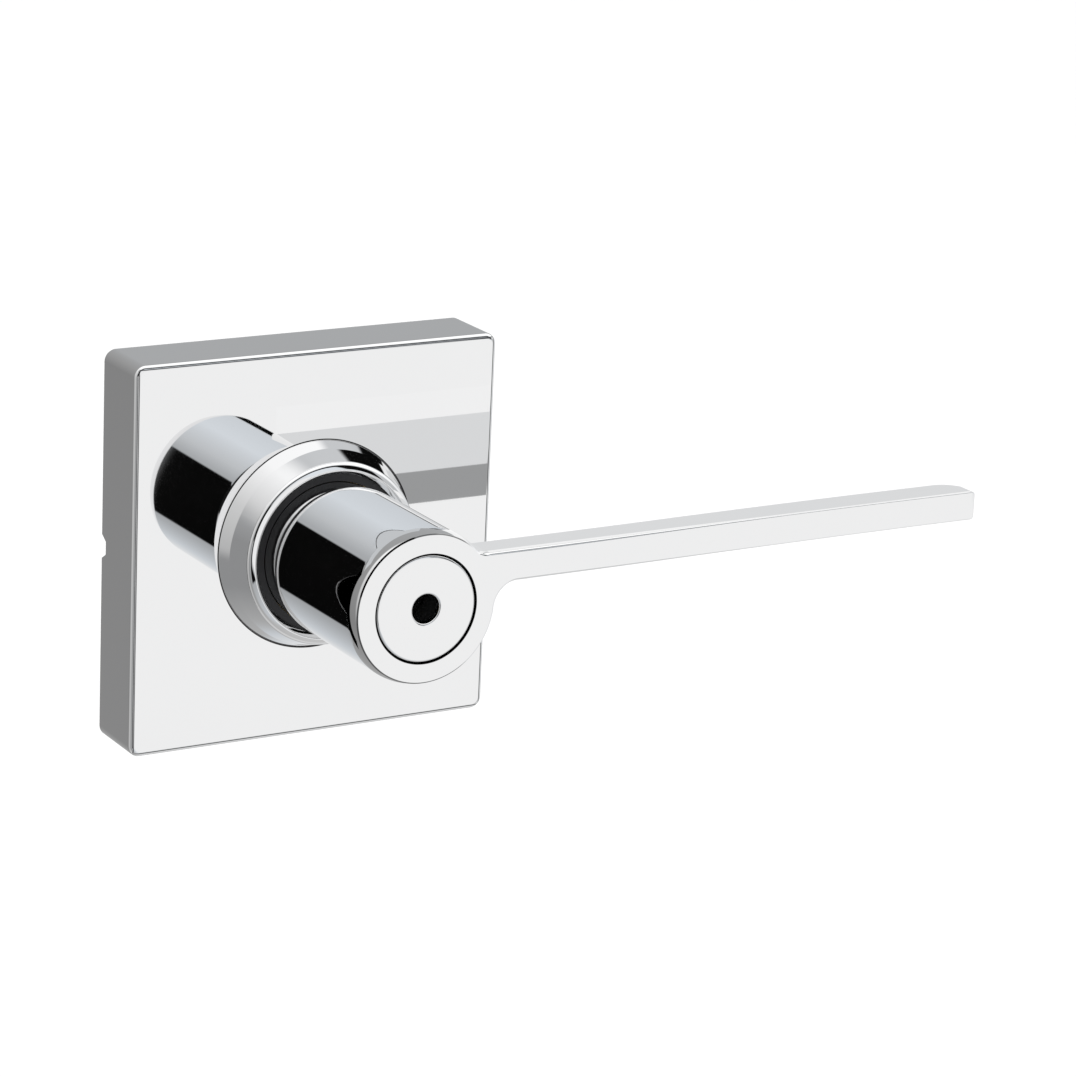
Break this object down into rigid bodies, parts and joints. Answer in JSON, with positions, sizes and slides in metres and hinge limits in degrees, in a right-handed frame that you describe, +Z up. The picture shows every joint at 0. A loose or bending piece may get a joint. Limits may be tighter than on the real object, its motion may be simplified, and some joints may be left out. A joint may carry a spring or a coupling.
{
  "type": "door lever handle",
  "caption": "Square-rose door lever handle in polished chrome: slim bar lever on a round hollow neck, sprung to level, with an emergency release hole in its round face cap.",
  "frame": {"origin": "on the lever's turning axis, in the plane of the door's face (the back of the rose)", "axes": "+X along the lever arm, +Y into the door along the spindle, +Z up"},
  "size_m": [0.1405, 0.1008, 0.0666],
  "materials": {
    "chrome_plate": "polished chrome plate",
    "zinc_casting": "as-cast zinc alloy",
    "zinc_plated_steel": "bright zinc-plated steel",
    "spring_steel": "oil-tempered spring steel",
    "bright_steel": "drawn bright steel",
    "black_steel": "black-oxide steel",
    "brass": "turned brass",
    "black_plastic": "moulded black acetal",
    "grey_plastic": "moulded grey nylon",
    "rubber": "moulded black rubber"
  },
  "bodies": {
    "base": {"rose_cover": "chrome_plate", "mounting_plate": "zinc_plated_steel", "through_posts": "zinc_plated_steel", "bore_ring": "grey_plastic", "rose_clips": "spring_steel", "clip_rivets": "zinc_plated_steel", "spring_housing": "zinc_casting", "housing_screws": "zinc_plated_steel", "bearing_bush": "brass", "wear_ring": "black_plastic", "stop_pins": "zinc_plated_steel", "return_spring": "spring_steel"},
    "lever": {"lever_handle": "chrome_plate", "face_cap": "chrome_plate", "cap_seal": "rubber", "spindle_sleeve": "chrome_plate", "sleeve_retaining_ring": "spring_steel", "cam_retaining_ring": "spring_steel", "drive_cam": "zinc_plated_steel", "spindle": "bright_steel", "spindle_clip": "spring_steel", "set_screw": "black_steel", "release_guide": "black_plastic"},
    "release": {"release_head": "brass", "release_rod": "bright_steel", "release_spring": "spring_steel"}
  },
  "joints": [
    {"name": "lever_turn", "type": "hinge", "parent": "base", "child": "lever", "pos_m": [0, 0, 0], "axis": [0, 1, 0], "range_deg": [-50, 50], "stiffness_Nm_per_rad": 0.6, "deforming": ["return_spring"]},
    {"name": "release_push", "type": "slide", "parent": "lever", "child": "release", "axis": [0, 1, 0], "range_m": [0, 0.004], "stiffness_N_per_m": 300, "springref_m": -0.003, "deforming": ["release_spring"]}
  ]
}
